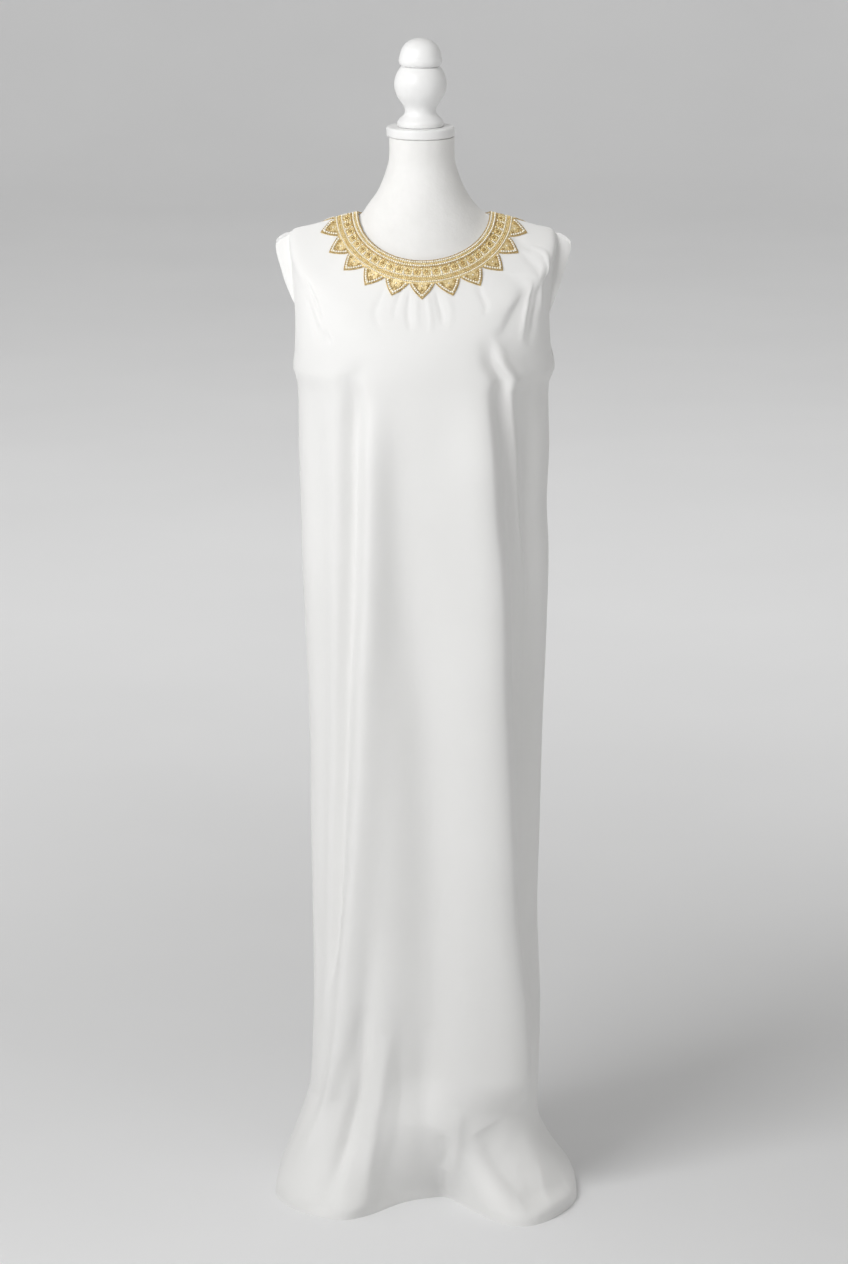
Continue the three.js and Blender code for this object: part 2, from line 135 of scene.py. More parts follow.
YOKE_STEPS = [8, 8, 9, 10, 10, 9, 6]
BODY_STEPS = [2, 10, 8, 8, 12, 13, 13, 14, 18, 34, 60]
PANEL_COLUMNS = 190
SEAM_CROWDING = 1.4  # how much the columns crowd towards a seam, from 1 up

# A fold runs down a panel through the places in its path: heights, and angles from the middle
# of the panel. `left` and `right` are its widths beside its centre line in degrees, at its head
# and its foot. A positive depth is a ridge and a negative one a trough, and it fades away over
# `head` and `foot` millimetres at its two ends.
Fold = namedtuple("Fold", "path left right depth head foot")

LEFT_TROUGH = ((1268, -32), (1140, -34), (905, -38), (758, -43), (614, -47), (463, -52), (260, -64))
LEFT_RIDGE = (
    (1250, -24), (1052, -24), (905, -26), (758, -30), (614, -33), (463, -38),
    (305, -45), (217, -49), (163, -53), (102, -61), (40, -72),
)
LOW_TROUGH = ((480, -27), (408, -28), (315, -31), (224, -39), (102, -57))
HOLLOW = ((1290, -14), (1052, -11), (905, -6), (758, 0), (614, 3), (463, 4), (120, 3))
MAIN_RIDGE = (
    (1290, 28), (1140, 30), (1052, 32), (905, 36),
    (758, 38), (612, 42), (458, 46), (300, 51), (130, 54),
)
RIGHT_TROUGH = ((1300, 35), (1205, 37), (1140, 39.5), (1052, 43), (905, 48), (758, 53), (640, 58))
THIN_RIDGE = ((1290, 42), (1240, 42), (1205, 44), (1140, 48), (1043, 53), (946, 58), (800, 66))
LIT_SIDE = ((1290, -58), (1000, -60), (758, -63), (458, -70), (200, -78))
SHADED_SIDE = ((1300, 58), (1000, 60), (758, 63), (458, 70), (200, 78))

FRONT_FOLDS = [
    Fold(LEFT_TROUGH, (6, 8), (6, 7), -16, 110, 150),
    Fold(LEFT_RIDGE, (6, 7), (9, 10), 13, 150, 60),
    Fold(LOW_TROUGH, (5, 5), (7, 7), -5, 200, 60),
    Fold(HOLLOW, (12, 20), (16, 15), -18, 560, 80),
    Fold(MAIN_RIDGE, (14, 22), (5.5, 9), 22, 200, 60),
    Fold(RIGHT_TROUGH, (5, 5), (4, 4.5), -6, 70, 200),
    Fold(THIN_RIDGE, (3, 3.5), (4, 4), 6.5, 60, 220),
    Fold(SHADED_SIDE, (17, 15), (15, 12), -22, 200, 180),
    Fold(LIT_SIDE, (13, 10), (12, 10), -9, 200, 180),
]

BACK_FOLDS = [
    Fold(((1260, -58), (700, -60), (80, -64)), (8, 9), (8, 9), 7, 150, 200),
    Fold(((1280, -34), (1000, -35), (700, -39), (150, -44)), (5, 7), (8, 10), -11, 120, 200),
    Fold(((1230, -16), (700, -18), (100, -22)), (8, 8), (9, 10), 8, 150, 200),
    Fold(((1270, 4), (850, 3), (420, 2)), (8, 8), (6, 8), -9, 130, 250),
    Fold(((1240, 22), (700, 24), (100, 27)), (9, 10), (7, 8), 9, 150, 200),
    Fold(((1280, 41), (1000, 42), (700, 46), (150, 50)), (5, 6), (7, 9), -11, 120, 200),
    Fold(((1200, 62), (700, 63), (100, 66)), (7, 8), (8, 8), 6, 150, 200),
]

# A crease is a short stroke through heights and angles, pressed in or raised after the hem is
# spread. It is `before` and `after` millimetres wide beside its line. On a stroke that runs down,
# `before` lies towards the smaller angles and `after` towards the greater ones.
Crease = namedtuple("Crease", "path before after depth")
CREASE_TAPER = 0.6  # 1 tapers from the middle on, and less only near the ends
CALM_ANGLE = 78  # folds die away from here to the side seams
DEGREE = 2.9  # millimetres of cloth in a degree round a panel
HEM_HELD = 16  # creases fade away down to the hem from here
HEM_STANDS = 16  # the hem stands upright up to here

FRONT_CREASES = [
    # gathers under the trim
    Crease(((1362, -12), (1335, -12.5), (1312, -12)), 3, 3, -1.1),
    Crease(((1352, -7), (1326, -6.5), (1298, -5)), 3, 2.6, -1.7),
    Crease(((1350, -3), (1326, -2.5), (1302, -2)), 2.6, 3, 1.1),
    Crease(((1350, 3), (1326, 3.4), (1296, 4)), 2.6, 3.4, 1.3),
    Crease(((1352, 8), (1330, 8.4), (1306, 9)), 3, 2.6, -1.8),
    Crease(((1352, 13), (1328, 13), (1300, 12)), 4, 4, 0.9),
    Crease(((1368, 34), (1346, 30), (1318, 28)), 4, 3, -1.6),
    Crease(((1360, -22), (1332, -21), (1300, -20)), 5, 4, -1.2),
    # from the right armhole to the bust
    Crease(((1372, 52), (1345, 50), (1318, 49), (1296, 46), (1280, 41)), 14, 36, -4.6),
    Crease(((1366, 54), (1350, 56), (1328, 59), (1300, 60), (1276, 58)), 7, 5, 2),
    Crease(((1352, 65), (1325, 68), (1298, 68), (1272, 63)), 9, 9, -2.2),
    Crease(((1360, 68), (1340, 72), (1316, 77)), 5, 5, 1.2),
    Crease(((1404, 75), (1384, 71), (1362, 72)), 3, 3, 2.2),
    Crease(((1398, 68), (1384, 64), (1366, 60)), 5, 4, -1.6),
    Crease(((1432, 84), (1418, 76), (1400, 70)), 4, 4, -1.4),
    # soft creases by the left armhole
    Crease(((1362, -60), (1340, -59), (1306, -58)), 5, 4, -2.4),
    Crease(((1340, -68), (1300, -64), (1270, -56)), 8, 8, -2.2),
    Crease(((1292, -57), (1276, -52)), 5, 5, -2.0),
    Crease(((1420, -70), (1396, -60), (1370, -54)), 9, 9, -1.6),
    # left lobe: a hollow, the second ridge and the step down beside it
    Crease(((300, -32), (225, -33), (163, -35), (102, -41), (55, -48), (-20, -56)), 13, 12, -11),
    Crease(((262, -18), (222, -20), (163, -22), (102, -26), (55, -32), (-20, -40)), 14, 10, 6),
    Crease(((300, -10), (167, -10), (102, -13), (48, -20), (-30, -32)), 15, 28, -6),
    # middle
    Crease(((280, 1), (102, 1), (40, -2)), 18, 18, -5),
    Crease(((112, 9), (84, 11), (56, 9)), 9, 10, -3),
    Crease(((150, 18), (90, 17), (50, 15), (-20, 12)), 16, 10, 5),
    # right lobe: a broad hollow, a dent and the lip under it
    Crease(((118, 31), (78, 37), (50, 46), (36, 60)), 20, 28, -9),
    Crease(((30, 46), (36, 54), (34, 62), (26, 74)), 10, 10, -4),
    Crease(((14, 50), (17, 60), (15, 72)), 8, 7, 4),
]
BACK_CREASES = [
    Crease(((1398, -9), (1366, -8), (1336, -7)), 4, 3, -1.5),
    Crease(((1398, 2), (1368, 2), (1330, 3)), 3, 4, 1.3),
    Crease(((1396, 10), (1366, 11), (1340, 12)), 4, 3, -1.4),
    Crease(((1392, -60), (1350, -48), (1300, -40)), 9, 12, -5),
    Crease(((1392, 62), (1356, 52), (1300, 44)), 12, 9, -5),
    Crease(((1370, -72), (1330, -68), (1290, -62)), 6, 7, 3),
    Crease(((1372, 72), (1330, 70), (1288, 62)), 7, 6, 3),
    Crease(((300, -30), (180, -30), (90, -34), (20, -36)), 16, 12, -7),
    Crease(((300, 4), (170, 3), (80, 1), (10, 0)), 18, 16, 7),
    Crease(((280, 36), (160, 36), (80, 38), (16, 38)), 14, 16, -7),
    Crease(((96, 16), (110, 20), (118, 26)), 6, 10, -4),
    Crease(((70, -60), (80, -54), (76, -46)), 9, 9, -4),
]

# The hem on the floor, side seam to side seam: angle, where it lies, the height at which the
# cloth starts to spread towards that place, and how late it does so.
Hem = namedtuple("Hem", "angle x y start late")

FRONT_HEM = [
    Hem(-90, -214, 0, 155, 1.25),
    Hem(-77, -214, -70, 155, 1.25),
    Hem(-64, -188, -132, 160, 1.4),
    Hem(-52, -146, -172, 160, 1.6),
    Hem(-42, -110, -184, 155, 1.8),
    Hem(-32, -74, -158, 150, 1.9),
    Hem(-16, -30, -106, 140, 1.8),
    Hem(0, 12, -80, 130, 1.7),
    Hem(9, 34, -78, 125, 1.6),
    Hem(18, 58, -112, 135, 1.8),
    Hem(28, 92, -170, 145, 2.4),
    Hem(36, 119, -202, 145, 2.6),
    Hem(44, 145, -213, 140, 2.6),
    Hem(52, 170, -203, 135, 2.5),
    Hem(62, 199, -164, 130, 2.1),
    Hem(76, 226, -94, 125, 2.2),
    Hem(90, 229, 0, 120, 2.2),
]
BACK_HEM = [
    Hem(-90, -214, 0, 155, 1.25),
    Hem(-72, -206, 78, 150, 1.4),
    Hem(-54, -166, 140, 150, 1.5),
    Hem(-38, -112, 148, 140, 1.6),
    Hem(-20, -56, 186, 160, 1.5),
    Hem(0, 2, 214, 190, 1.5),
    Hem(20, 60, 192, 160, 1.5),
    Hem(38, 112, 152, 140, 1.7),
    Hem(54, 170, 154, 140, 1.8),
    Hem(72, 214, 84, 130, 2.0),
    Hem(90, 229, 0, 120, 2.2),
]


# ---- Curves ----


def smooth(start, end, value):
    """0 before start, 1 after end, and an even curve between them."""
    share = np.clip((value - start) / (end - start), 0, 1)
    return share * share * (3 - 2 * share)


def smooth_over(value, round_off):
    """The value where it is positive and 0 where it is negative, with the corner rounded."""
    return (value + np.sqrt(value * value + round_off * round_off / 4)) / 2


def hermite(start, slope_in, end, slope_out, share):
    square = share * share
    cube = square * share
    return (
        start * (2 * cube - 3 * square + 1)
        + slope_in * (cube - 2 * square + share)
        + end * (3 * square - 2 * cube)
        + slope_out * (cube - square)
    )


def along(keys, values, at):
    """A smooth curve through (key, value) places whose keys rise, held level past its ends."""
    keys = np.asarray(keys, float)
    values = np.asarray(values, float)
    at = np.clip(at, keys[0], keys[-1])
    right = np.clip(np.searchsorted(keys, at), 1, len(keys) - 1)
    left = right - 1
    before = np.maximum(left - 1, 0)
    after = np.minimum(right + 1, len(keys) - 1)
    gap = keys[right] - keys[left]
    share = (at - keys[left]) / gap
    slope_in = (values[right] - values[before]) / (keys[right] - keys[before]) * gap
    slope_out = (values[after] - values[left]) / (keys[after] - keys[left]) * gap
    return hermite(values[left], slope_in, values[right], slope_out, share)


def through(points, places):
    """A centripetal spline through points (n, columns, 3), at places counted in points."""
    first = 2 * points[:1] - points[1:2]
    last = 2 * points[-1:] - points[-2:-1]
    padded = np.concatenate([first, points, last])
    index = np.clip(np.floor(places).astype(int), 0, len(points) - 2)
    share = (places - index)[:, None, None]
    p0, p1, p2, p3 = (padded[index + i] for i in range(4))
    step0, step1, step2 = (
        np.sqrt(np.linalg.norm(b - a, axis=-1, keepdims=True) + 1e-9)
        for a, b in ((p0, p1), (p1, p2), (p2, p3))
    )
    slope1 = ((p1 - p0) / step0 - (p2 - p0) / (step0 + step1) + (p2 - p1) / step1) * step1
    slope2 = ((p2 - p1) / step1 - (p3 - p1) / (step1 + step2) + (p3 - p2) / step2) * step1
    return hermite(p1, slope1, p2, slope2, share)


def xyz(x, y, z):
    return np.stack(np.broadcast_arrays(x, y, z), axis=-1)


def unit(vectors):
    return vectors / np.maximum(np.linalg.norm(vectors, axis=-1, keepdims=True), 1e-9)


def grid_normals(grid, sign):
    """Unit normals of a grid of points, outwards where the sign is right."""
    down = np.gradient(grid, axis=0)
    across = np.gradient(grid, axis=1)
    return unit(np.cross(down, across) * sign)


# ---- The panels ----


def ring_points(ring, side, angles):
    """Points of a ring; side is -1 for the front of the dress and +1 for its back."""
    turn = np.radians(angles)
    half = np.where(angles < 0, ring.left, ring.right)
    reach = ring.front if side < 0 else ring.back
    middle_z = ring.front_z if side < 0 else ring.back_z
    facing = np.maximum(np.cos(turn), 0)
    z = ring.side_z + (middle_z - ring.side_z) * facing
    return xyz(half * np.sin(turn), side * reach * facing**ring.power, z)


def fold_depth(folds, angles, z):
    depth = np.zeros_like(z)
    for fold in folds:
        heights, turns = zip(*reversed(fold.path))
        top, end = heights[-1], heights[0]
        centre = along(heights, turns, z)
        fade = smooth(top, top - fold.head, z) * smooth(end, end + fold.foot, z)
        away = angles - centre
        down = np.clip((top - z) / (top - end), 0, 1)
        left, right = (head + (foot - head) * down for head, foot in (fold.left, fold.right))
        width = np.where(away < 0, left, right)
        depth += fold.depth * fade * np.exp(-((away / width) ** 2))
    return depth


def crease_depth(creases, angles, z):
    """How far the strokes move each place of a panel along its normal."""
    across = np.broadcast_to(angles * DEGREE, z.shape)
    depth = np.zeros_like(z)
    for crease in creases:
        path = np.array([(angle * DEGREE, height) for height, angle in crease.path])
        steps = np.diff(path, axis=0)
        lengths = np.hypot(steps[:, 0], steps[:, 1])
        start = np.append(0, np.cumsum(lengths))
        nearest = np.full(z.shape, np.inf)
        side = np.zeros(z.shape)
        run = np.zeros(z.shape)
        for origin, step, length, before in zip(path, steps, lengths, start):
            away_x, away_z = across - origin[0], z - origin[1]
            share = np.clip((away_x * step[0] + away_z * step[1]) / length**2, 0, 1)
            gap = np.hypot(away_x - share * step[0], away_z - share * step[1])
            closer = gap < nearest
            nearest = np.where(closer, gap, nearest)
            side = np.where(closer, (step[0] * away_z - step[1] * away_x) / length, side)
            run = np.where(closer, before + share * length, run)
        taper = np.sin(math.pi * np.clip(run / start[-1], 0, 1)) ** CREASE_TAPER
        # the width turns smoothly from one side's to the other's round the two ends
        tilt = np.clip(side / np.maximum(nearest, TINY), -1, 1)
        width = crease.before + (crease.after - crease.before) * (tilt + 1) / 2
        depth += crease.depth * taper * np.exp(-((nearest / width) ** 2))
    return depth


def panel_grid(side, angles, places):
    """The outer face of a panel: rows go down from the neckline, columns left to right."""
    folds, creases, hem = (
        (FRONT_FOLDS, FRONT_CREASES, FRONT_HEM)
        if side < 0
        else (BACK_FOLDS, BACK_CREASES, BACK_HEM)
    )
    rings = []
    for ring in DRESS_RINGS:
        edge = ring.front_edge if side < 0 else ring.back_edge
        rings.append(ring_points(ring, side, angles * edge / 90))
    plain = through(np.array(rings), places)
    z = plain[..., 2]
    calm = 1 - smooth(CALM_ANGLE, 90, np.abs(angles))
    outwards = grid_normals(plain, -side)
    outwards[..., 2] = 0
    grid = plain + unit(outwards) * (fold_depth(folds, angles, z) * calm)[..., None]
    keys = [place.angle for place in hem]
    x, y, start, late = (along(keys, [place[i] for place in hem], angles) for i in range(1, 5))
    above = smooth_over(z - HEM_STANDS, HEM_STANDS) / (start - HEM_STANDS)
    spread = np.clip(1 - above, 0, 1) ** late
    grid[..., 0] += (x - grid[..., 0]) * spread
    grid[..., 1] += (y - grid[..., 1]) * spread
    press = crease_depth(creases, angles, z) * calm * smooth(0, HEM_HELD, z)
    grid += grid_normals(grid, -side) * press[..., None]
    grid[..., 1] = side * (np.maximum(side * grid[..., 1], 0) + SEAM_GAP / 2)
    return grid


def panel_normals(grid, side):
    """Normals that lie across the seam where two panels meet, so that they meet squarely."""
    normals = grid_normals(grid, -side)
    for column in (0, -1):
        sewn = np.abs(grid[:, column, 1]) < 1
        normals[sewn, column, 1] = 0
    normals[-1, :, 2] = 0
    return unit(normals)


def panel_angles(count):
    """Column angles, closer together towards the side seams, where a ring turns fastest."""
    place = np.linspace(-1, 1, count + 1)
    edge = 1 - np.abs(place)
    return 90 * np.sign(place) * (1 - (edge**SEAM_CROWDING * (1 - edge) + edge**2))


def stepped(steps):
    """Places along the rings, with the given number of rows from each ring to the next."""
    rows = [np.linspace(i, i + 1, count, endpoint=False) for i, count in enumerate(steps)]
    return np.append(np.concatenate(rows), len(steps))


# ---- Meshes ----


def grid_faces(rows, columns, start=0):
    corner = start + np.arange(rows - 1)[:, None] * columns + np.arange(columns - 1)[None, :]
    return np.stack([corner, corner + columns, corner + columns + 1, corner + 1], -1).reshape(-1, 4)


def border(rows, columns):
    """Indices round the edge of a grid."""
    index = np.arange(rows * columns).reshape(rows, columns)
    return np.concatenate([index[0, :-1], index[:-1, -1], index[-1, :0:-1], index[:0:-1, 0]])


def wall_arrays(outer, inner):
    """A thin closed shell between two grids of the same size."""
    rows, columns = outer.shape[:2]
    count = rows * columns
    points = np.concatenate([outer.reshape(-1, 3), inner.reshape(-1, 3)])
    ring = border(rows, columns)
    beyond = np.roll(ring, -1)
    rim = np.stack([ring, beyond, beyond + count, ring + count], -1)
    faces = [grid_faces(rows, columns), grid_faces(rows, columns, count)[:, ::-1], rim]
    return points, np.concatenate(faces)


def closed_arrays(rings):
    """Closed rings of points joined into one skin."""
    rows, columns = rings.shape[:2]
    corner = np.arange(rows - 1)[:, None] * columns
    here = corner + np.arange(columns)
    beyond = corner + (np.arange(columns) + 1) % columns
    faces = np.stack([here, beyond, beyond + columns, here + columns], -1)
    return rings.reshape(-1, 3), faces.reshape(-1, 4)


def capped_arrays(rings):
    """A skin through closed rings, with a flat face over its first and its last ring."""
    points, faces = closed_arrays(rings)
    sides = rings.shape[1]
    ends = [list(range(sides)), list(range(len(points) - sides, len(points)))]
    return points, faces.tolist() + ends


SHARP = math.radians(50)  # edges that bend more than this stay crisp


def make_object(name, points, faces, material, sharp=SHARP):
    """A smooth-shaded mesh from millimetre points, which rides on the one body."""
    mesh = bpy.data.meshes.new(name)
    mesh.from_pydata((np.asarray(points) * MM).tolist(), [], [list(face) for face in faces])
    for each in material if isinstance(material, list) else [material]:
        mesh.materials.append(each)
    mesh.validate()
    fix_normals(mesh)
    mesh.shade_smooth()
    mesh.set_sharp_from_angle(angle=sharp)
    piece = bpy.data.objects.new(name, mesh)
    bpy.context.scene.collection.objects.link(piece)
    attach(piece, BODY)
    return piece


def fix_normals(mesh):
    """Turns all faces outwards."""
    work = bmesh.new()
    work.from_mesh(mesh)
    bmesh.ops.recalc_face_normals(work, faces=work.faces)
    work.to_mesh(mesh)
    work.free()


# ---- Materials ----


WAVE_PERIOD = math.pi / 10  # metres between the bands of a wave texture at scale 1


class Nodes:
    """Short calls for building one node material."""

    def __init__(self, name):
        self.material = bpy.data.materials.new(name)
        self.material.use_nodes = True
        self.tree = self.material.node_tree
        self.shader = self.tree.nodes["Principled BSDF"]
        self.place = self.add("ShaderNodeTexCoord").outputs["Object"]

    def add(self, kind, **settings):
        node = self.tree.nodes.new(kind)
        for key, value in settings.items():
            setattr(node, key, value)
        return node

    def link(self, source, target):
        self.tree.links.new(source, target)

    def set(self, **values):
        for key, value in values.items():
            self.shader.inputs[key.replace("_", " ")].default_value = value

    def noise(self, scale, detail=2.0, roughness=0.5, stretch=None):
        node = self.add("ShaderNodeTexNoise")
        node.inputs["Scale"].default_value = scale
        node.inputs["Detail"].default_value = detail
        node.inputs["Roughness"].default_value = roughness
        place = self.place
        if stretch:
            mapping = self.add("ShaderNodeMapping")
            mapping.inputs["Scale"].default_value = stretch
            self.link(place, mapping.inputs["Vector"])
            place = mapping.outputs["Vector"]
        self.link(place, node.inputs["Vector"])
        return node.outputs["Fac"]

    def ramp(self, source, stops):
        node = self.add("ShaderNodeValToRGB")
        elements = node.color_ramp.elements
        while len(elements) < len(stops):
            elements.new(0.5)
        for element, (position, color) in zip(elements, stops):
            element.position = position
            element.color = (*color, 1)
        self.link(source, node.inputs["Fac"])
        return node.outputs["Color"]

    def tint(self, source, low, high, edges=(0.3, 0.7)):
        """The shader's colour, from low to high over the source's middle range."""
        color = self.ramp(source, [(edges[0], low), (edges[1], high)])
        self.link(color, self.shader.inputs["Base Color"])

    def rough(self, source, low, high):
        self.link(self.spread(source, low, high), self.shader.inputs["Roughness"])

    def surface(self, normal):
        self.link(normal, self.shader.inputs["Normal"])

    def spread(self, source, low, high):
        node = self.add("ShaderNodeMapRange")
        node.inputs["To Min"].default_value = low
        node.inputs["To Max"].default_value = high
        self.link(source, node.inputs["Value"])
        return node.outputs["Result"]

    def bump(self, height, distance, strength=1.0, under=None):
        node = self.add("ShaderNodeBump")
        node.inputs["Strength"].default_value = strength
        node.inputs["Distance"].default_value = distance
        self.link(height, node.inputs["Height"])
        if under is not None:
            self.link(under, node.inputs["Normal"])
        return node.outputs["Normal"]

    def weave(self, period, turn):
        """Threads of the given period in metres, across one direction."""
        mapping = self.add("ShaderNodeMapping")
        mapping.inputs["Rotation"].default_value = turn
        self.link(self.place, mapping.inputs["Vector"])
        node = self.add("ShaderNodeTexWave", wave_type="BANDS", bands_direction="X")
        node.inputs["Scale"].default_value = WAVE_PERIOD / period
        node.inputs["Distortion"].default_value = 0.6
        node.inputs["Detail"].default_value = 1.0
        self.link(mapping.outputs["Vector"], node.inputs["Vector"])
        return node.outputs["Fac"]

    def plus(self, a, b):
        node = self.add("ShaderNodeMath", operation="ADD")
        self.link(a, node.inputs[0])
        self.link(b, node.inputs[1])
        return node.outputs["Value"]


def cloth_material():
    """Smooth matte crepe: a fine crinkled grain over a plain weave."""
    nodes = Nodes("dress_cloth")
    nodes.set(Sheen_Weight=0.12, Sheen_Roughness=0.4, Specular_IOR_Level=0.25)
    nodes.tint(nodes.noise(6, 3), (0.81, 0.808, 0.797), (0.83, 0.828, 0.818))
    nodes.rough(nodes.noise(40, 3), 0.55, 0.7)
    threads = nodes.plus(nodes.weave(0.0009, (0, 0, 0)), nodes.weave(0.0009, (0, math.pi / 2, 0)))
    grain = nodes.bump(threads, 0.00004)
    nodes.surface(nodes.bump(nodes.noise(700, 2, 0.6), 0.0001, under=grain))
    return nodes.material


def form_material():
    """Off-white stretch knit over a padded form."""
    nodes = Nodes("form_cloth")
    nodes.set(Sheen_Weight=0.1, Specular_IOR_Level=0.2)
    nodes.tint(nodes.noise(25, 3), (0.82, 0.815, 0.8), (0.86, 0.855, 0.84))
    nodes.rough(nodes.noise(60), 0.8, 0.95)
    knit = nodes.plus(nodes.weave(0.0016, (0, 0, 0)), nodes.weave(0.0012, (0, math.pi / 2, 0)))
    soft = nodes.bump(nodes.noise(120, 3), 0.0006)
    nodes.surface(nodes.bump(knit, 0.00012, under=soft))
    return nodes.material


def paint_material():
    """White paint on turned wood, with faint brush marks."""
    nodes = Nodes("white_paint")
    nodes.set(Specular_IOR_Level=0.45, Coat_Weight=0.15, Coat_Roughness=0.25)
    nodes.tint(nodes.noise(30, 4, stretch=(1, 1, 0.3)), (0.8, 0.8, 0.795), (0.86, 0.86, 0.855))
    nodes.rough(nodes.noise(80), 0.32, 0.48)
    marks = nodes.noise(90, 3, 0.6, stretch=(1, 1, 8))
    nodes.surface(nodes.bump(marks, 0.00025))
    return nodes.material


def braid_material():
    """The woven gold strip that the beads are sewn to."""
    nodes = Nodes("gold_braid")
    nodes.set(Metallic=0.4)
    nodes.tint(nodes.noise(500, 3), (0.5, 0.35, 0.13), (0.97, 0.84, 0.52))
    nodes.rough(nodes.noise(300), 0.35, 0.6)
    nodes.surface(nodes.bump(nodes.noise(900, 2), 0.0004))
    return nodes.material


def bead_material(name, low, high, metallic, roughness):
    nodes = Nodes(name)
    nodes.set(Metallic=metallic, Specular_IOR_Level=0.6)
    nodes.tint(nodes.noise(260, 2), low, high, edges=(0.35, 0.65))
    nodes.rough(nodes.noise(400), roughness - 0.08, roughness + 0.1)
    return nodes.material


def trim_materials():
    """One for each slot of the trim: the braid, then gold, pale and dark beads. The pale beads'
    whiteness is partly painted highlight on the gold, and the dark beads' colour is partly painted
    shade.
    """
    return [
        braid_material(),
        bead_material("gold_beads", (0.8, 0.59, 0.24), (1.0, 0.88, 0.53), 0.5, 0.24),
        bead_material("pale_beads_and_painted_highlight", (0.98, 0.92, 0.73), (1.0, 0.98, 0.91), 0.1, 0.16),
        bead_material("dark_beads_and_painted_shade", (0.38, 0.25, 0.08), (0.68, 0.48, 0.2), 0.5, 0.32),
    ]


def backdrop_material():
    nodes = Nodes("backdrop_paper")
    nodes.set(Specular_IOR_Level=0.1)
    nodes.tint(nodes.noise(1.5, 2), (0.82, 0.823, 0.829), (0.84, 0.843, 0.849))
    nodes.rough(nodes.noise(20), 0.85, 0.95)
    return nodes.material


# ---- The dress's pieces ----


def make_panel(name, node, side, material):
    grid = panel_grid(side, panel_angles(PANEL_COLUMNS), stepped(YOKE_STEPS + BODY_STEPS))
    normals = panel_normals(grid, side)
    points, faces = wall_arrays(grid, grid - normals * CLOTH)
    piece = make_object(name, points, faces, material)
    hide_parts(node)
    return grid


Sleeve = namedtuple("Sleeve", "name sign length foot")
SLEEVES = [Sleeve("cap_sleeve_left", -1, 25, 1324), Sleeve("cap_sleeve_right", 1, 27, 1313)]
SLEEVE_GAP = 0.05  # from the panels' edges
SLEEVE_ENDS = 1.2  # its length at the two ends
SLEEVE_ROUND = 1.8  # how full its edge is between them
SLEEVE_FALL = (math.radians(9), math.radians(52))  # how steeply it hangs, from seam to edge
SLEEVE_TUCK = 0.2  # how far its edge turns in towards the middle
SLEEVE_JOIN = 0.3  # the share of it that leaves the panels smoothly
SEAM_BLUR = 5  # steps of the seam that its start is evened over
SLEEVE_STEPS = (90, 24)


def resampled(points, count):
    """Points at even distances along a polyline."""
    gaps = np.linalg.norm(np.diff(points, axis=0), axis=1)
    distance = np.append(0, np.cumsum(gaps))
    at = np.linspace(0, distance[-1], count)
    return np.stack([np.interp(at, distance, points[:, i]) for i in range(3)], axis=-1)


def armhole_seam(front, back, sleeve, count):
    """The armhole edge from front foot to back foot, and the way that the panels reach it."""
    edge, inner = (0, 3) if sleeve.sign < 0 else (-1, -4)
    first = sum(YOKE_STEPS[:ARMHOLE_ROW])
    last = sum(YOKE_STEPS[:UNDERARM_ROW])

    def above_foot(grid, column):
        rows = grid[first : last + 1, edge, 2] >= sleeve.foot
        return grid[first : last + 1, column][rows]

    seam, within = (
        resampled(np.concatenate([above_foot(front, column)[::-1], above_foot(back, column)]), count)
        for column in (edge, inner)
    )
    heading = unit(seam - within)
    blur = np.hanning(2 * SEAM_BLUR + 1)[:, None]
    padded = np.pad(heading, ((SEAM_BLUR, SEAM_BLUR), (0, 0)), mode="edge")
    heading = np.array([(padded[i : i + len(blur)] * blur).sum(axis=0) for i in range(count)])
    return seam, unit(heading)


def make_sleeve(front, back, sleeve, material):
    along_steps, out_steps = SLEEVE_STEPS
    seam, heading = armhole_seam(front, back, sleeve, along_steps + 1)
    place = np.linspace(-1, 1, along_steps + 1)
    length = SLEEVE_ENDS + (sleeve.length - SLEEVE_ENDS) * (1 - np.abs(place) ** SLEEVE_ROUND)
    steps = [seam + heading * SLEEVE_GAP]
    for share in np.linspace(0, 1, out_steps):
        fall = SLEEVE_FALL[0] + (SLEEVE_FALL[1] - SLEEVE_FALL[0]) * share
        inwards = -SLEEVE_TUCK * np.sign(seam[:, 1]) * np.abs(place) * share
        hanging = xyz(sleeve.sign * math.cos(fall), inwards, -math.sin(fall))
        turned = smooth(-SLEEVE_JOIN / 2, SLEEVE_JOIN, share)
        way = unit(heading * (1 - turned) + hanging * turned)
        steps.append(steps[-1] + way * (length / out_steps)[:, None])
    grid = np.array(steps)
    normals = grid_normals(grid, sleeve.sign)
    points, faces = wall_arrays(grid, grid - normals * CLOTH)
    piece = make_object(sleeve.name + "_cloth", points, faces, material)
    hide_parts(sleeve.name)


# ---- The neckline trim ----

PATCH_COLUMNS = TEETH * 24
PATCH_STEP = 0.5  # between the patch's rows
PATCH_PLACES = np.linspace(0, 2.4, 97)  # rings that the trim can reach
BRAID_COLUMNS = 20  # of the gold strip, for each tooth
BAND_ROWS, TOOTH_ROWS = 12, 10


def yoke_patch(side):
    """The panel under the trim as a grid by distance from the neckline and share of its width."""
    grid = panel_grid(side, np.linspace(-90, 90, PATCH_COLUMNS + 1), PATCH_PLACES)
    gaps = np.linalg.norm(np.diff(grid, axis=0), axis=-1)
    distance = np.concatenate([np.zeros((1, grid.shape[1])), np.cumsum(gaps, axis=0)])
    levels = np.arange(0, TRIM_REACH + 4, PATCH_STEP)
    patch = np.empty((len(levels), grid.shape[1], 3))
    for column in range(grid.shape[1]):
        for axis in range(3):
            patch[:, column, axis] = np.interp(levels, distance[:, column], grid[:, column, axis])
    return patch, panel_normals(patch, side)


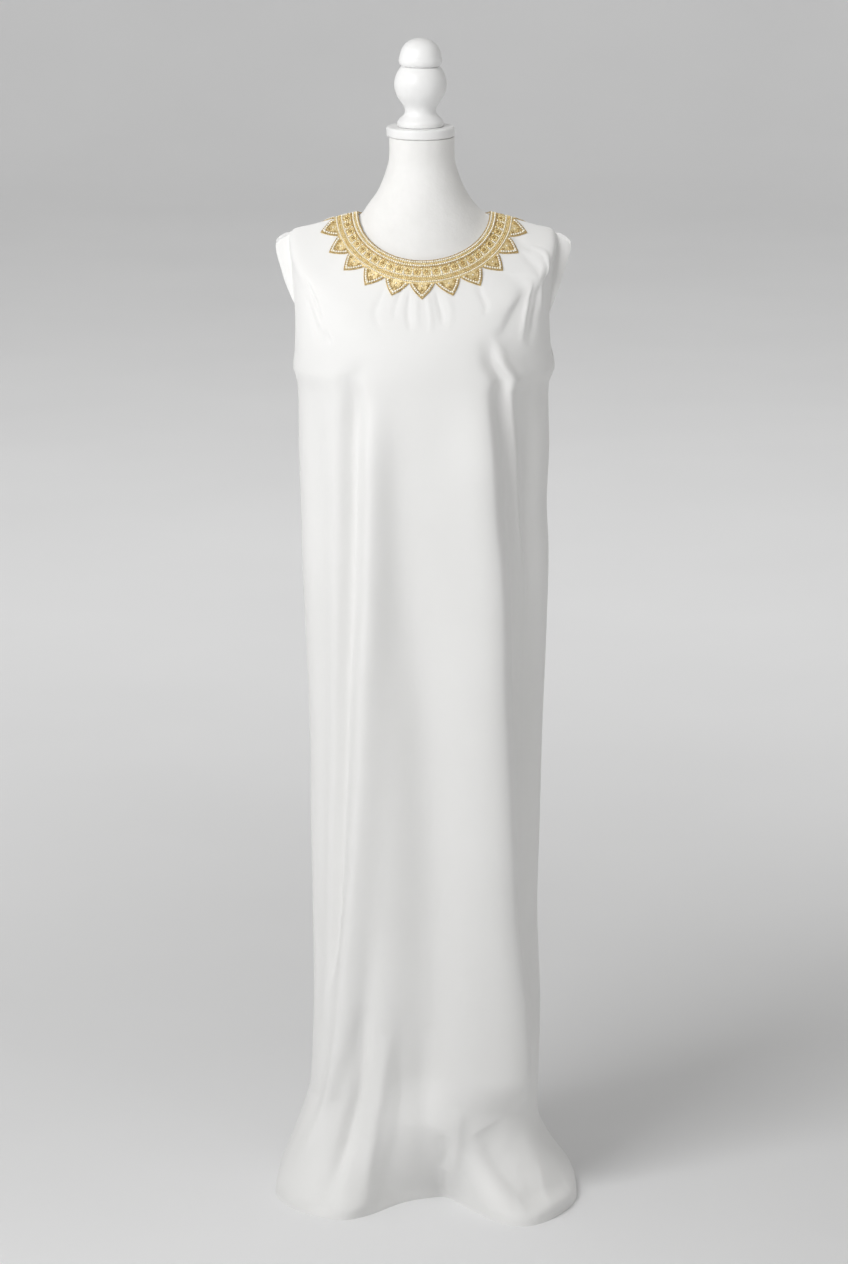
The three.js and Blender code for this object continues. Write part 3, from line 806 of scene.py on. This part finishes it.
def on_patch(values, share, distance):
    """Looks up a grid of the patch between its rows and columns."""
    column = np.clip(share, 0, 1) * PATCH_COLUMNS
    row = np.clip(distance, 0, None) / PATCH_STEP
    j = np.clip(np.floor(column).astype(int), 0, values.shape[1] - 2)
    i = np.clip(np.floor(row).astype(int), 0, values.shape[0] - 2)
    a = (column - j)[..., None]
    b = np.clip(row - i, 0, 1)[..., None]
    upper = values[i, j] * (1 - a) + values[i, j + 1] * a
    lower = values[i + 1, j] * (1 - a) + values[i + 1, j + 1] * a
    return upper * (1 - b) + lower * b


def tooth_reach(share):
    """Petal-shaped teeth: full sides, a pointed tip, and sharp notches between them."""
    from_tip = np.abs((share * TEETH) % 1 - 0.5) * 2
    return TOOTH_LENGTH * (1 - from_tip) ** TOOTH_FULLNESS


def braid_arrays(patch, normals):
    shares = np.linspace(0, 1, TEETH * BRAID_COLUMNS + 1)
    band = np.linspace(0, 1, BAND_ROWS)
    tooth = np.linspace(0, 1, TOOTH_ROWS)[1:]
    band_end = TRIM_INSET + TRIM_BAND
    reach = [np.full_like(shares, TRIM_INSET + TRIM_BAND * level) for level in band]
    reach += [band_end + (1 + tooth_reach(shares)) * level for level in tooth]
    distance = np.array(reach)
    share = np.broadcast_to(shares, distance.shape)
    points = on_patch(patch, share, distance)
    outwards = unit(on_patch(normals, share, distance))
    return wall_arrays(points + outwards * (SEAM_GAP + BRAID), points + outwards * SEAM_GAP)


# A row of beads follows the neckline at a distance from it.
BeadRow = namedtuple("BeadRow", "distance radius pitch kind")
# Pale beads are partly pale beads and partly painted highlight; dark beads are partly dark beads and
# partly painted shade.
GOLD, PALE_AND_PAINTED_HIGHLIGHT, DARK_AND_PAINTED_SHADE = 1, 2, 3  # material slots; 0 is the braid
# The dark rows at the band's two edges are partly painted shade, and the pale rows are partly painted
# highlight.
BEAD_ROWS = [
    BeadRow(0.9, 0.9, 1.9, DARK_AND_PAINTED_SHADE),
    BeadRow(3.0, 1.55, 3.2, PALE_AND_PAINTED_HIGHLIGHT),
    BeadRow(5.6, 1.2, 2.9, GOLD),
    BeadRow(8.3, 1.55, 3.2, PALE_AND_PAINTED_HIGHLIGHT),
    BeadRow(10.8, 1.1, 2.7, DARK_AND_PAINTED_SHADE),
    BeadRow(24.6, 1.3, 2.9, PALE_AND_PAINTED_HIGHLIGHT),
    BeadRow(27.0, 1.2, 2.5, GOLD),
    BeadRow(29.6, 1.2, 2.5, GOLD),
    BeadRow(32.3, 1.3, 2.9, PALE_AND_PAINTED_HIGHLIGHT),
]
BEAD_LIFT = 0.55  # of its height, from the braid to the middle of a bead
LINE_POINTS = 400

# A rosette is a dark centre, partly painted shade, in a ring of petals, as shares of its radius.
ROSETTE_CENTRE = 0.36
PETAL_PLACE, PETAL_LENGTH, PETAL_WIDTH = 0.66, 0.34, 0.22
CENTRE_HEIGHT, PETAL_HEIGHT = 1.5, 1.2

# The band's rosettes, and the pale beads between them, which are partly painted highlight: how far
# from their line, and half width.
ROSETTES = 26
ROSETTE_DISTANCE = 17.3
ROSETTE_RADIUS = 5.6
SPACERS = ((-4.6, 1.5), (0.2, 1.0), (2.6, 1.5), (4.9, 2.2))
SPACER_SIZE = (1.2, 1.4)  # half length down the band, and height

# A tooth: rows of beads along its outline, as inset, radius and kind, and what fills it. The dark
# rows either side of the pale one are partly painted shade, and the pale beads are partly painted
# highlight.
TOOTH_LINES = ((0.9, 0.8, DARK_AND_PAINTED_SHADE), (3.2, 1.7, PALE_AND_PAINTED_HIGHLIGHT), (5.5, 0.8, DARK_AND_PAINTED_SHADE))
LOWEST_BEAD = 0.4  # beyond the tooth's foot
TOOTH_PITCH = 2.05  # from bead to bead, in radii
TOOTH_SPREAD = 0.52  # half width of the outline, as a share of the tooth's width
SMALL_ROSETTE = 3.8
SMALL_ROSETTES = ((0, 10.5), (-0.24, 3.2), (0.24, 3.2))  # share of a tooth aside, and beyond its foot
TOOTH_BEADS = ((4.5, (1.3, 1.3, 1.3)), (17.2, (1.1, 1.6, 1.3)))


class Beads:
    """Gathers beads on the patch, then turns them into one mesh."""

    def __init__(self, patch, normals):
        self.patch = patch
        self.normals = normals
        self.items = []

    def add(self, share, distance, size, kind, turn=0.0):
        """Puts one bead at each (share, distance). size is half length, half width, height."""
        share, distance = np.atleast_1d(share), np.atleast_1d(distance)
        place = on_patch(self.patch, share, distance)
        out = unit(on_patch(self.normals, share, distance))
        step = 0.002
        across = on_patch(self.patch, share + step, distance)
        across = unit(across - on_patch(self.patch, share - step, distance))
        down = np.cross(out, across)
        turn = np.broadcast_to(turn, share.shape)[:, None]
        long = across * np.cos(turn) + down * np.sin(turn)
        wide = np.cross(out, long)
        lift = SEAM_GAP + BRAID + size[2] * BEAD_LIFT
        frame = np.stack([long * size[0], wide * size[1], out * size[2]], axis=1)
        self.items.append((place + out * lift, frame, kind))

    def row(self, share, distance, radius, pitch, kind):
        """A row of beads along a line of the patch."""
        points = on_patch(self.patch, share, distance)
        gaps = np.linalg.norm(np.diff(points, axis=0), axis=1)
        length = np.append(0, np.cumsum(gaps))
        count = max(int(round(length[-1] / pitch)), 1)
        at = (np.arange(count) + 0.5) / count * length[-1]
        size = (radius, radius, radius)
        self.add(np.interp(at, length, share), np.interp(at, length, distance), size, kind)

    def arrays(self):
        unit_points, unit_faces = bead_shape()
        points, faces, kinds = [], [], []
        start = 0
        for centres, frames, kind in self.items:
            cloud = np.einsum("vk,nkc->nvc", unit_points, frames) + centres[:, None]
            count = len(unit_points)
            offsets = start + np.arange(len(centres))[:, None, None] * count
            points.append(cloud.reshape(-1, 3))
            faces.append((unit_faces[None] + offsets).reshape(-1, unit_faces.shape[1]))
            kinds.append(np.full(len(centres) * len(unit_faces), kind))
            start += len(centres) * count
        return np.concatenate(points), np.concatenate(faces), np.concatenate(kinds)


def bead_shape():
    """A unit sphere of triangles."""
    work = bmesh.new()
    bmesh.ops.create_icosphere(work, subdivisions=1, radius=1)
    points = np.array([vert.co[:] for vert in work.verts])
    faces = np.array([[vert.index for vert in face.verts] for face in work.faces])
    work.free()
    return points, faces


def rosette(beads, share, distance, radius, petals=8):
    """A dark centre, partly painted shade, in a ring of gold petals."""
    step = 0.005
    ends = share + np.array([-step, step])
    width = np.linalg.norm(np.diff(on_patch(beads.patch, ends, np.full(2, distance)), axis=0))
    per_share = width / (2 * step)
    turns = np.arange(petals) * 2 * math.pi / petals
    centre = radius * ROSETTE_CENTRE
    beads.add(share, distance, (centre, centre, CENTRE_HEIGHT), DARK_AND_PAINTED_SHADE)
    beads.add(
        share + np.cos(turns) * radius * PETAL_PLACE / per_share,
        distance - np.sin(turns) * radius * PETAL_PLACE,
        (radius * PETAL_LENGTH, radius * PETAL_WIDTH, PETAL_HEIGHT),
        GOLD,
        turn=-turns,
    )


def tooth_line(beads, index, inset, count=60):
    """The outline of a tooth, drawn inwards by an inset, as shares and distances."""
    ends = np.array([index, index + 1]) / TEETH
    width = np.linalg.norm(np.diff(on_patch(beads.patch, ends, np.full(2, TOOTH_FOOT)), axis=0))
    half = width * TOOTH_SPREAD
    place = np.linspace(-1, 1, count)
    x = place * half
    y = TOOTH_LENGTH * (1 - np.abs(place)) ** TOOTH_FULLNESS
    slope_x, slope_y = np.gradient(x), np.gradient(y)
    length = np.hypot(slope_x, slope_y)
    x = x + slope_y / length * inset
    y = y - slope_x / length * inset
    keep = (y > LOWEST_BEAD) & (np.sign(x) == np.sign(place))
    share = (index + 0.5 + x / half / 2) / TEETH
    return share[keep], TOOTH_FOOT + y[keep]


def bead_band(beads):
    line = np.linspace(0, 1, LINE_POINTS)
    for row in BEAD_ROWS:
        beads.row(line, np.full_like(line, row.distance), row.radius, row.pitch, row.kind)
    for i in range(ROSETTES):
        rosette(beads, (i + 0.5) / ROSETTES, ROSETTE_DISTANCE, ROSETTE_RADIUS)
        for away, width in SPACERS:
            beads.add(i / ROSETTES, ROSETTE_DISTANCE + away, (width, *SPACER_SIZE), PALE_AND_PAINTED_HIGHLIGHT)


def bead_tooth(beads, index):
    for inset, radius, kind in TOOTH_LINES:
        share, distance = tooth_line(beads, index, inset)
        beads.row(share, distance, radius, radius * TOOTH_PITCH, kind)
    middle = (index + 0.5) / TEETH
    for aside, below in SMALL_ROSETTES:
        rosette(beads, middle + aside / TEETH, TOOTH_FOOT + below, SMALL_ROSETTE, petals=6)
    for below, size in TOOTH_BEADS:
        beads.add(middle, TOOTH_FOOT + below, size, PALE_AND_PAINTED_HIGHLIGHT)


def make_trim(name, node, side, materials):
    patch, normals = yoke_patch(side)
    points, faces = braid_arrays(patch, normals)
    beads = Beads(patch, normals)
    bead_band(beads)
    for index in range(TEETH):
        bead_tooth(beads, index)
    bead_points, bead_faces, kinds = beads.arrays()
    all_faces = faces.tolist() + (bead_faces + len(points)).tolist()
    all_points = np.concatenate([points, bead_points])
    piece = make_object(name, all_points, all_faces, materials)
    slots = np.concatenate([np.zeros(len(faces), int), kinds])
    piece.data.polygons.foreach_set("material_index", slots.astype(np.int32))
    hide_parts(node)


# ---- The dress form and its finial ----

FORM_SIDES, FORM_ROWS = 120, 160
FORM_WALL = 2  # cloth of the solid dress that the form stays clear of
REST_GAPS = (1.3, 0.8, 2.2)

# half width, reach forward and back, heights at the side and the two middles, squareness
NECK_RINGS = [
    (46.5, 46.5, 46.5, 1557, 1557, 1557, 1),
    (47, 47, 47, 1524, 1524, 1524, 1),
    (50.5, 50, 51, 1510, 1508, 1511, 1),
    (56, 54, 56, 1494, 1487, 1496, 1),
    (64, 59, 60, 1477, 1462, 1481, 1),
    (77, 66, 63, 1459, 1430, 1460, 1),
]
TORSO_RINGS = [
    (180, 116, 110, 1394, 1297, 1345, 0.85),
    (170, 123, 113, 1335, 1276, 1306, 0.85),
    (158, 126, 110, 1280, 1248, 1262, 0.85),
    (151, 122, 105, 1226, 1213, 1215, 0.85),
    (134, 102, 95, 1150, 1150, 1150, 0.9),
    (121, 90, 86, 1050, 1050, 1050, 0.9),
    (136, 97, 97, 960, 960, 960, 0.9),
    (156, 104, 112, 860, 860, 860, 0.85),
    (154, 100, 110, 790, 790, 790, 0.85),
    (140, 88, 96, 745, 745, 745, 0.85),
    (118, 70, 78, 731, 731, 731, 0.85),
]


def round_ring(ring, angles):
    """A whole ring, from the middle of the back round the front and back again."""
    front = np.abs(angles) <= 90
    from_middle = np.where(front, angles, np.sign(angles) * 180 - angles)
    ahead = ring_points(ring, -1, from_middle)
    behind = ring_points(ring, 1, from_middle)
    return np.where(front[:, None], ahead, behind)


def form_ring(half, front, back, side_z, front_z, back_z, power):
    return Ring(half, half, front, back, side_z, front_z, back_z, power, 90, 90)


def resting_ring(index, angles):
    """A ring just inside the yoke, which rests on it."""
    ring, lower = YOKE_RINGS[index], YOKE_RINGS[index + 1]
    points = round_ring(ring, angles)
    across = round_ring(ring, angles + 1) - round_ring(ring, angles - 1)
    down = round_ring(lower, angles) - points
    normals = np.cross(down, across)
    normals[np.abs(np.abs(angles) - 90) < 1, 1] = 0
    return points - unit(normals) * (FORM_WALL + REST_GAPS[index])


def make_form(material):
    angles = np.linspace(-180, 180, FORM_SIDES, endpoint=False)
    keys = [round_ring(form_ring(*row), angles) for row in NECK_RINGS]
    keys += [resting_ring(i, angles) for i in range(len(REST_GAPS))]
    keys += [round_ring(form_ring(*row), angles) for row in TORSO_RINGS]
    rings = through(np.array(keys), np.linspace(0, len(keys) - 1, FORM_ROWS))
    points, faces = capped_arrays(rings)
    piece = make_object("dress_form", points, faces, material)
    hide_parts("form_torso")


NECK_TOP = 1557
DISC_RADIUS, DISC_THICKNESS, DISC_EDGE = 48.5, 14.3, 3
DISC_CORE = 20  # its flat faces end in a cap of this radius
FINIAL_FOOT = NECK_TOP + SEAM_GAP + DISC_THICKNESS + SEAM_GAP
LATHE_SIDES = 96
TURNED_SHARP = math.radians(40)  # the same for turned wood

# The finial's outline as radius and height: its foot's rounded edge, curves as start, two
# handles and end, and its tip.
FINIAL_EDGE = [(31.5, 0), (32.6, 0.4), (33, 1.2)]
FINIAL_TIP = (0.3, 125)
FINIAL_CURVES = [
    ((33, 5), (32, 12), (22, 14), (22, 22)),
    ((22, 22), (22, 32), (36, 38), (37.5, 58)),
    ((37.5, 58), (38, 72), (30, 84), (25, 85.5)),
    ((25, 85.5), (30.5, 86), (32, 93), (30, 98)),
    ((30, 98), (29.5, 106), (24, 125), (0, 125)),
]


def bezier(start, first, second, end, count=16):
    t = np.linspace(0, 1, count, endpoint=False)[:, None]
    start, first, second, end = (np.array(point, float) for point in (start, first, second, end))
    return (
        start * (1 - t) ** 3
        + first * 3 * t * (1 - t) ** 2
        + second * 3 * t * t * (1 - t)
        + end * t**3
    )


def lathe(name, profile, foot, material):
    """Turns a profile of (radius, height) about the pole's line."""
    turn = np.linspace(0, 2 * math.pi, LATHE_SIDES, endpoint=False)
    profile = np.asarray(profile, float)
    radius, height = profile[:, 0, None], profile[:, 1, None]
    rings = xyz(POLE_X + radius * np.cos(turn), radius * np.sin(turn), foot + height)
    points, faces = capped_arrays(rings)
    piece = make_object(name, points, faces, material, sharp=TURNED_SHARP)
    return piece


def make_disc(material):
    turn = np.linspace(-math.pi / 2, 0, 7)
    rim = DISC_RADIUS - DISC_EDGE
    lower = [(rim + DISC_EDGE * math.cos(a), DISC_EDGE + DISC_EDGE * math.sin(a)) for a in turn]
    upper = [(radius, DISC_THICKNESS - height) for radius, height in reversed(lower)]
    profile = [(DISC_CORE, 0)] + lower + upper + [(DISC_CORE, DISC_THICKNESS)]
    piece = lathe("neck_disc_turned", profile, NECK_TOP + SEAM_GAP, material)
    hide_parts("neck_disc")


def make_finial(material):
    curves = [bezier(*curve) for curve in FINIAL_CURVES]
    profile = FINIAL_EDGE + [tuple(point) for curve in curves for point in curve] + [FINIAL_TIP]
    piece = lathe("finial_turned", profile, FINIAL_FOOT, material)
    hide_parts("finial")


# ---- The studio ----

FLOOR_RINGS = (0.5, 2, 4, 6.5)  # metres, as all of the studio is
FLOOR_RADIUS = 9.5  # where the floor starts to curve up
SWEEP_RADIUS = 3.0
BACKDROP_HEIGHT = 6.0
BACKDROP_SIDES = 96


def make_backdrop():
    """A seamless round studio: floor, sweep and wall, the same from every side."""
    turn = np.linspace(0, math.pi / 2, 17)
    radius = np.concatenate([FLOOR_RINGS, FLOOR_RADIUS + SWEEP_RADIUS * np.sin(turn)])
    height = np.concatenate([np.zeros(len(FLOOR_RINGS)), SWEEP_RADIUS * (1 - np.cos(turn))])
    radius = np.append(radius, FLOOR_RADIUS + SWEEP_RADIUS)
    height = np.append(height, BACKDROP_HEIGHT)
    around = np.linspace(0, 2 * math.pi, BACKDROP_SIDES, endpoint=False)
    x = radius[:, None] * np.cos(around)
    y = radius[:, None] * np.sin(around)
    rings = xyz(x, y, height[:, None])
    points, faces = closed_arrays(rings)
    upwards = [list(range(BACKDROP_SIDES))] + faces[:, ::-1].tolist()
    mesh = bpy.data.meshes.new("backdrop")
    mesh.from_pydata(points.tolist(), [], upwards)
    mesh.shade_smooth()
    mesh.materials.append(backdrop_material())
    backdrop = bpy.data.objects.new("backdrop", mesh)
    bpy.context.scene.collection.objects.link(backdrop)


# Soft boxes: name, place, size, watts and the point they are aimed at.
DRESS_MIDDLE = (0, 0, 0.8)
LIGHTS = [
    ("key", (-1.5, -1.9, 2.95), 1.4, 53, (0, 0, 1.0)),
    ("left", (-3.8, -3.2, 3.2), 2.0, 18, DRESS_MIDDLE),
]
SKY = 0.425
SKY_COLOR = (1.0, 0.99, 0.97, 1)

# A ring of soft boxes that face away from the dress and light the studio round it.
RING_LIGHTS = 6
RING_WATTS = 94
RING_SIZE = 2.5
RING_RADIUS, RING_HEIGHT = 2.6, 4.8
RING_AIM = Vector((12.0, 0, 1.0))  # how far out, and how high


def make_light(name, place, size, watts, aim):
    data = bpy.data.lights.new(name, "AREA")
    data.size = size
    data.energy = watts
    light = bpy.data.objects.new(name, data)
    light.location = place
    direction = Vector(aim) - Vector(place)
    light.rotation_euler = direction.to_track_quat("-Z", "Y").to_euler()
    light.visible_camera = False
    bpy.context.scene.collection.objects.link(light)


def make_studio():
    scene = bpy.context.scene
    scene.view_settings.view_transform = "Standard"
    world = bpy.data.worlds.new("studio")
    world.use_nodes = True
    sky = world.node_tree.nodes["Background"]
    sky.inputs["Color"].default_value = SKY_COLOR
    sky.inputs["Strength"].default_value = SKY
    scene.world = world
    for light in LIGHTS:
        make_light(*light)
    for i in range(RING_LIGHTS):
        turn = 2 * math.pi * (i + 0.5) / RING_LIGHTS
        outwards = Vector((math.cos(turn), math.sin(turn), 0))
        place = outwards * RING_RADIUS + Vector((0, 0, RING_HEIGHT))
        aim = outwards * RING_AIM.x + Vector((0, 0, RING_AIM.z))
        make_light(f"ring_{i}", place, RING_SIZE, RING_WATTS, aim)
    make_backdrop()


def make_camera():
    data = bpy.data.cameras.new("camera")
    data.sensor_fit = "VERTICAL"
    data.sensor_height = SENSOR
    data.lens = SENSOR * FOCAL_LENGTH / PHOTO_HEIGHT
    camera = bpy.data.objects.new("camera", data)
    back, up = math.cos(CAMERA_PITCH), math.sin(CAMERA_PITCH)
    camera.location = CAMERA_AIM + Vector((0, -back, up)) * CAMERA_DISTANCE
    camera.rotation_euler = (math.pi / 2 - CAMERA_PITCH, 0, 0)
    bpy.context.scene.collection.objects.link(camera)
    bpy.context.scene.camera = camera


# ---- The scene ----


# The hidden stand keeps its solids and gets the white paint.
STAND_NODES = ("pole", "stand_hub", "leg_front_left", "leg_front_right", "leg_back")


def main():
    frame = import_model()
    make_camera()
    make_studio()
    cloth = cloth_material()
    paint = paint_material()
    make_form(form_material())
    make_disc(paint)
    make_finial(paint)
    front = make_panel("front_cloth", "front_panel", -1, cloth)
    back = make_panel("back_cloth", "back_panel", 1, cloth)
    for sleeve in SLEEVES:
        make_sleeve(front, back, sleeve, cloth)
    trim = trim_materials()
    make_trim("neck_trim_front_beads", "neck_trim_front", -1, trim)
    make_trim("neck_trim_back_beads", "neck_trim_back", 1, trim)
    for name in STAND_NODES:
        slots = frame["nodes"][name].data.materials
        for index in range(len(slots)):
            slots[index] = paint


main()
